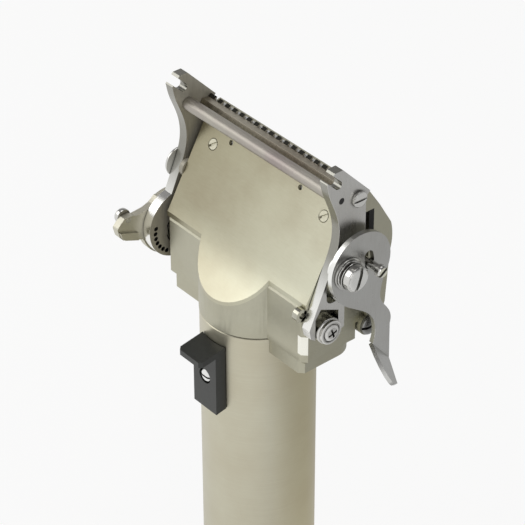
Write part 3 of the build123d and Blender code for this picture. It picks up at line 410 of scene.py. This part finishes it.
for cut_at, cut_facing in (((0, strip_front, 0), rearward), ((0, strip_back, 0), rearward),
                           ((0, 0, strip_foot), upward), ((0, 0, strip_head), upward)):
    for face in piece.data.polygons:
        face.select = face.normal.x > square_on and face.center.x > cheek_face
    bpy.ops.object.mode_set(mode="EDIT")
    bpy.ops.mesh.bisect(plane_co=cut_at, plane_no=cut_facing)
    bpy.ops.object.mode_set(mode="OBJECT")
finish_faces(piece, polished_corner_highlight,
             lambda at, out: at.x > corner_side and at.y < corner_back and out.y < corner_facing
             and corner_foot < at.z < corner_head)
finish_faces(piece, eyelet_metal,
             lambda at, out: eyelet_inner < at.x < eyelet_outer and at.y < eyelet_front
             and math.hypot(at.y - eyelet_y, at.z - eyelet_height) < eyelet_radius)
finish_faces(piece, painted_slot_shadow,
             lambda at, out: slot_inner < abs(at.x) < slot_outer and slot_front < at.y < slot_back
             and slot_foot < at.z < slot_head and max(abs(out.x), abs(out.y)) > nearly_square)
finish_faces(piece, painted_slot_shadow,
             lambda at, out: out.x > square_on and at.x > cheek_face
             and strip_front < at.y < strip_back and strip_foot < at.z < strip_head)

# Drive: a ground shaft with a crank pin turns in two bearings, and a bronze roller on the pin
# works in the fork of the blade carrier, which is moulded in hard nylon to run quietly.
race_metal = metal("bearing_race", (0.66, 0.66, 0.65), (0.60, 0.60, 0.58), roughness=0.14,
                   grain=0.12, grain_scale=(2400, 60, 60), grain_depth=0.10, speckle=0.04)
shaft_metal = metal("ground_shaft", (0.60, 0.60, 0.59), (0.55, 0.55, 0.53), roughness=0.18,
                    grain=0.15, grain_scale=(60, 60, 4200), grain_depth=0.12, speckle=0.04)
bronze = metal("sintered_bronze", (0.56, 0.36, 0.17), (0.46, 0.28, 0.12), roughness=0.34,
               grain=0.20, grain_scale=(1200, 1200, 1200), grain_depth=0.20, speckle=0.30)
nylon = dull("carrier_nylon", (0.60, 0.58, 0.50), (0.66, 0.64, 0.56), roughness=0.45,
             mottle_scale=700, depth=0.15)
for node, finish, slot_name in (("lower_bearing", race_metal, "bearing_steel"),
                                ("upper_bearing", race_metal, "bearing_steel"),
                                ("drive_shaft", shaft_metal, "shaft_steel"),
                                ("crank_roller", bronze, "bearing_steel"),
                                ("blade_carrier", nylon, "carrier_plastic")):
    dressed(node, finish, edge_break=0.0001)

# Sole plate: a thin plate with a satin face, which slides on the oiled skin. Two countersunk
# screws hold it to the casting. Its colour is painted darker towards its upper left, as painted
# shade.
sole_metal = metal("satin_sole", (0.610, 0.600, 0.470), (0.535, 0.508, 0.388), roughness=0.32,
                   grain=0.12, grain_scale=(260, 3000, 3000), grain_depth=0.12, speckle=0.22,
                   shade_depth=0.2, fade_along=(-0.75, 0, 0.66), fade_from=0.086,
                   fade_to=0.155, fade_tone=(0.55, 0.515, 0.45))
dressed("sole_plate", sole_metal, edge_break=0.0001)
sole_screw_metal = metal("satin_sole_screw", (0.60, 0.58, 0.46), (0.52, 0.50, 0.38),
                         roughness=0.30, grain=0.15, grain_scale=(1500, 1500, 1500),
                         grain_depth=0.12, speckle=0.10, shade_depth=0.1)
painted_highlight_metal = metal("bright_slot_highlight", (0.95, 0.94, 0.80), (0.90, 0.89, 0.74), roughness=0.45,
                    grain=0.10, grain_scale=(1500, 1500, 1500), grain_depth=0.12, speckle=0.10,
                    shade_depth=0.0)
slot_wall_facing = 0.93
piece = dressed("sole_screws", sole_screw_metal, edge_break=0.0001)
# The screws' slot walls are painted near white, a painted highlight.
finish_faces(piece, painted_highlight_metal, lambda at, out: abs(out.x) > slot_wall_facing)

# Blade: a disposable strip of hardened steel, ground to one long bevel. Two pegs of the carrier
# hold it. Only its edge shows, between the teeth of the comb. There it is painted a pale,
# non-metallic white, a painted highlight.
blade_metal = metal("ground_blade", (0.95, 0.95, 0.93), (0.90, 0.90, 0.88), roughness=0.55,
                    grain=0.12, grain_scale=(3000, 200, 200), grain_depth=0.12, speckle=0.04,
                    shade_depth=0.0)
edge_highlight_metal = metal("honed_edge_highlight", (0.95, 0.95, 0.93), (0.90, 0.90, 0.88), roughness=0.45,
                   grain=0.10, grain_scale=(200, 3000, 3000), grain_depth=0.10, speckle=0.04,
                   shade_depth=0.0, metallic=0.0)
honed_from = seam_height + 0.060
piece = dressed("blade", blade_metal, edge_break=0.00003)
finish_faces(piece, edge_highlight_metal, lambda at, out: at.z > honed_from)

# Side plates: profile-ground steel that carries the bar and the comb and swings on the pivots.
# Their faces have a lengthwise grain. Their ground rims are painted near white as a painted
# highlight, and darker again towards the top as painted shade. The left plate is stained and also
# stands in the head's shade: its darker, only partly metallic copy of the steel is partly painted
# shade. The right plate's strong corner darkening is a painted contact shadow along the clamp disc.
plate_lean = (0.35, 0, 0)
plate_metal = metal("ground_side_plate", (0.68, 0.675, 0.65), (0.60, 0.59, 0.56), roughness=0.27,
                    grain=0.16, grain_scale=(3000, 1500, 140), grain_depth=0.20, speckle=0.10,
                    grain_turn=plate_lean, shade_reach=0.002, shade_depth=0.97)
shaded_left_plate_metal = metal("stained_shaded_side_plate", (0.41, 0.39, 0.325), (0.34, 0.315, 0.25),
                         roughness=0.36, grain=0.20, grain_scale=(3000, 1500, 140),
                         grain_depth=0.20, speckle=0.10, grain_turn=plate_lean, shade_depth=0.0,
                         metallic=0.35)
rim_highlight_metal = metal("ground_rim_highlight", (0.93, 0.93, 0.90), (0.84, 0.83, 0.79), roughness=0.20,
                  grain=0.20, grain_scale=(160, 2400, 2400), grain_depth=0.20, speckle=0.06,
                  fade_along=upward, fade_from=seam_height + 0.024,
                  fade_to=seam_height + 0.044, fade_tone=(0.35, 0.345, 0.32))
edge_on = 0.4
bright_rim_back = 0.012
for node, finish in (("left_side_plate", shaded_left_plate_metal), ("right_side_plate", plate_metal)):
    piece = dressed(node, finish, edge_break=0.0005, steps=3)
    finish_faces(piece, rim_highlight_metal, lambda at, out: abs(out.x) < edge_on and at.y < bright_rim_back)

# Gauge bar: a ground rod across the head, held by a thin journal in each side plate. Skin is
# drawn flat under it, and its satin face has picked up a faint straw and violet stain.
bar_metal = metal("ground_bar", (0.45, 0.430, 0.375), (0.38, 0.335, 0.315), roughness=0.42,
                  grain=0.22, grain_scale=(60, 2600, 2600), grain_depth=0.25, speckle=0.10)
painted_drill_shade = dull("centre_drilling_shade", (0.01, 0.01, 0.01), (0.02, 0.02, 0.02), roughness=0.6,
                   mottle_scale=900, depth=0.2)
bar_end = 0.043
piece = dressed("gauge_bar", bar_metal, edge_break=0.0001)
# The journal ends are painted black, a painted shade for the centre drilling in each.
finish_faces(piece, painted_drill_shade, lambda at, out: abs(out.x) > square_on and abs(at.x) > bar_end)

# Comb: milled from one bar and held by a screw through each side plate. Its short guard teeth
# are painted near black as painted shade, and are thinned at the tips and parted a little more
# than the solid's. The long band below them keeps the marks of the cutter.
comb_metal = metal("milled_comb", (0.46, 0.425, 0.345), (0.34, 0.300, 0.235), roughness=0.34,
                   grain=0.60, grain_scale=(2300, 500, 500), grain_depth=0.50, speckle=0.30)
painted_tooth_shade = dull("tooth_shade_black", (0.012, 0.012, 0.008), (0.022, 0.020, 0.013), roughness=0.6,
                   mottle_scale=900, depth=0.3, specular=0.2)
sole_lean = math.radians(29.0)
sole_up = Vector((0, math.sin(sole_lean), math.cos(sole_lean)))
sole_out = Vector((0, -math.cos(sole_lean), math.sin(sole_lean)))
sole_foot = Vector((0, -0.011, seam_height + 0.025))
comb_pitch = 0.0041
gap_wall_from, gap_wall_to = 0.10, 0.18
gap_foot = 0.0440
gap_ease = 0.0003
tooth_shoulder = 0.0466
tooth_face = 0.0003
tooth_thinning = 0.00085
tooth_shade_from = 0.0462
tooth_facing = 0.5
piece = dressed("comb", comb_metal, edge_break=0.0001)
for point in piece.data.vertices:
    from_foot = point.co - sole_foot
    if from_foot.dot(sole_up) > tooth_shoulder and from_foot.dot(sole_out) > tooth_face:
        point.co -= sole_out * tooth_thinning
    beside_gap = (point.co.x / comb_pitch + 0.5) % 1 - 0.5
    if from_foot.dot(sole_up) > gap_foot and gap_wall_from < abs(beside_gap) < gap_wall_to:
        point.co.x += math.copysign(gap_ease, beside_gap)
finish_faces(piece, painted_tooth_shade,
             lambda at, out: (at - sole_foot).dot(sole_up) > tooth_shade_from
             and abs(out.x) < tooth_facing)


# Comb screws: slotted screws, turned and polished, one through each side plate into the comb.
# Their domes are pressed flatter than the solid's, and the right one has a brushed face, painted
# brighter as a painted highlight.
def flatten_dome(piece, side, rim, share):
    """Press a screw head's dome flatter on one side, past the rim of the head."""
    for point in piece.data.vertices:
        past_rim = point.co.x * side - rim
        if past_rim > 0:
            point.co.x -= past_rim * share * side


screw_metal = metal("polished_screw", (0.66, 0.655, 0.63), (0.58, 0.57, 0.54), roughness=0.15,
                    grain=0.10, grain_scale=(1500, 1500, 1500), grain_depth=0.10, speckle=0.06,
                    shade_reach=0.0015, shade_depth=0.8)
painted_face_highlight = metal("polished_face_highlight", (0.93, 0.93, 0.90), (0.80, 0.79, 0.76), roughness=0.28,
                    grain=0.35, grain_scale=(500, 2600, 2600), grain_depth=0.15, speckle=0.06,
                    grain_turn=(0.8, 0, 0), shade_reach=0.0008, shade_depth=0.8)
right_comb_rim = 0.0443
left_comb_rim = 0.0463
comb_screw_face = 0.0445
piece = dressed("comb_screws", screw_metal, edge_break=0.00015)
flatten_dome(piece, side=1, rim=right_comb_rim, share=0.6)
flatten_dome(piece, side=-1, rim=left_comb_rim, share=0.6)
finish_faces(piece, painted_face_highlight, lambda at, out: abs(out.x) > square_on and at.x > comb_screw_face)

# Pivots: a shouldered, slotted screw on each side, over flat washers, a dished spring washer on
# the right and a spacer on the left. All are turned, and all but the spacer are polished. The
# right screw's dome is pressed flatter than the solid's, and its face is painted brighter as a
# painted highlight. The spacer takes the left plate's painted shade, and strong painted shade
# darkens the gaps between the washers.
right_pivot_rim = 0.0537
pivot_face = 0.0539
for node, finish, slot_name in (("pivot_screws", screw_metal, "screw_steel"),
                                ("flat_washers", screw_metal, "screw_steel"),
                                ("spring_washer", screw_metal, "screw_steel"),
                                ("pivot_spacer", shaded_left_plate_metal, "plate_steel")):
    piece = dressed(node, finish, edge_break=0.00015)
    flatten_dome(piece, side=1, rim=right_pivot_rim, share=0.55)
    finish_faces(piece, painted_face_highlight, lambda at, out: abs(out.x) > square_on and at.x > pivot_face)

# Clamp lever: steel plate with its thumb tab folded out, and a round hub behind its disc. It
# turns on the right pivot, and a headed pin in the casting guides it through an arc slot.
lever_metal = metal("satin_lever", (0.57, 0.57, 0.55), (0.52, 0.515, 0.49), roughness=0.28,
                    grain=0.12, grain_scale=(3000, 1800, 160), grain_depth=0.15, speckle=0.10,
                    grain_turn=(-0.4, 0, 0), shade_reach=0.003, shade_depth=0.6)
bright_rim_facing = -0.3
bright_rim_foot = seam_height + 0.022
piece = dressed("clamp_lever", lever_metal, edge_break=0.00035, steps=3)
# The lever's front-facing rims above the seam are painted brighter, a painted highlight.
finish_faces(piece, painted_face_highlight,
             lambda at, out: out.y < bright_rim_facing and abs(out.x) < edge_on
             and at.z > bright_rim_foot)
piece = dressed("guide_pin", screw_metal, edge_break=0.00015)
# The pin's end face is painted near white, a painted highlight.
finish_faces(piece, painted_highlight_metal, lambda at, out: out.x > square_on)

# Thickness lever: milled and blasted, with a turned knob, on the left end of the cross shaft.
# The shaft carries an eccentric cam in each side plate, and the right one shows as a screw head.
thickness_metal = metal("blasted_lever", (0.62, 0.60, 0.505), (0.55, 0.525, 0.43), roughness=0.42,
                        grain=0.12, grain_scale=(900, 900, 900), grain_depth=0.20, speckle=0.20)
dressed("thickness_lever", thickness_metal, edge_break=0.00035, steps=3)
for node in ("lever_knob", "thickness_shaft", "eccentric_cams"):
    dressed(node, screw_metal, edge_break=0.00015)

# The right cam ends in a turned, domed face with a cross recess for the driver. It stands proud
# of the side plate, and its rings are painted brighter as painted highlights.
dome_radius = 0.0047
dome_depth = 0.0010
insets_and_rises = ((0.0004, 0.00025), (0.0005, 0.0), (0.0002, -0.0005), (0.0003, 0.0),
                    (0.0002, 0.0006), (0.0008, 0.0004), (0.0008, 0.0002))
cross_size = Vector((0.0022, 0.0008, 0.0040))
cross_rise = Vector((0.0014, 0, 0))
cross_turns = (math.radians(18), math.radians(108))
bright_ring_from = 0.0004
ring_facing = (0.3, 0.97)
dome_smooth = math.radians(40)
quarter_turn = math.radians(90)
cam_low, cam_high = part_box("eccentric_cams")
cam_centre = (cam_low + cam_high) / 2
cam_centre.x = cam_high.x + dome_depth / 2
bpy.ops.object.select_all(action="DESELECT")
bpy.ops.mesh.primitive_cylinder_add(vertices=64, radius=dome_radius, depth=dome_depth,
                                    location=cam_centre, rotation=(0, quarter_turn, 0))
dome = bpy.context.object
dome.name = "cam_dome"
bpy.ops.object.transform_apply(location=True, rotation=True, scale=True)
bpy.ops.object.mode_set(mode="EDIT")
bpy.ops.mesh.select_all(action="DESELECT")
bpy.ops.object.mode_set(mode="OBJECT")
for face in dome.data.polygons:
    face.select = face.normal.x > square_on
bpy.ops.object.mode_set(mode="EDIT")
for inset, rise in insets_and_rises:
    bpy.ops.mesh.inset(thickness=inset, depth=0)
    bpy.ops.transform.translate(value=(rise, 0, 0))
bpy.ops.object.mode_set(mode="OBJECT")
for cross_turn in cross_turns:
    bpy.ops.object.select_all(action="DESELECT")
    bpy.ops.mesh.primitive_cube_add(size=1, location=cam_centre + cross_rise,
                                    rotation=(cross_turn, 0, 0), scale=cross_size)
    cutter = bpy.context.object
    bpy.ops.object.select_all(action="DESELECT")
    dome.select_set(True)
    bpy.context.view_layer.objects.active = dome
    cross = dome.modifiers.new("cross_recess", "BOOLEAN")
    cross.object = cutter
    cross.operation = "DIFFERENCE"
    bpy.ops.object.modifier_apply(modifier=cross.name)
    bpy.data.objects.remove(cutter)
bpy.ops.object.shade_smooth_by_angle(angle=dome_smooth)
dome.data.materials.append(screw_metal)
finish_faces(dome, painted_face_highlight,
             lambda at, out: ring_facing[0] < out.x < ring_facing[1]
             and at.x > cam_centre.x + bright_ring_from)
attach(dome, frame["nodes"]["eccentric_cams"]["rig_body"])

# Side plugs: slotted plugs with low domed heads, one in the rear boss on each side of the
# casting. They are turned from steel, and have been blackened and then rubbed dull.
plug_metal = metal("dull_plug", (0.34, 0.34, 0.335), (0.27, 0.27, 0.265), roughness=0.36,
                   grain=0.1, grain_scale=(1500, 1500, 1500), grain_depth=0.12, speckle=0.2,
                   shade_reach=0.0015, shade_depth=0.8)
dressed("side_plugs", plug_metal, edge_break=0.00015)

# Trigger: a moulded slide with a thumb ledge, held through the tube's slot to a slider inside
# by one bright, polished screw, whose raised colour is partly a painted highlight. Its edges have
# been rubbed smooth.
moulding = dull("trigger_moulding", (0.014, 0.015, 0.013), (0.026, 0.028, 0.024), roughness=0.30,
                mottle_scale=700, depth=0.25)
trigger_screw_highlight_metal = metal("bright_screw", (0.84, 0.84, 0.82), (0.76, 0.76, 0.74),
                            roughness=0.18, grain=0.10, grain_scale=(1500, 1500, 1500),
                            grain_depth=0.10, speckle=0.06, shade_reach=0.0015, shade_depth=0.9)
for node in ("trigger", "trigger_slider"):
    dressed(node, moulding, edge_break=0.0009, steps=4)
dressed("trigger_screw", trigger_screw_highlight_metal, edge_break=0.00015)
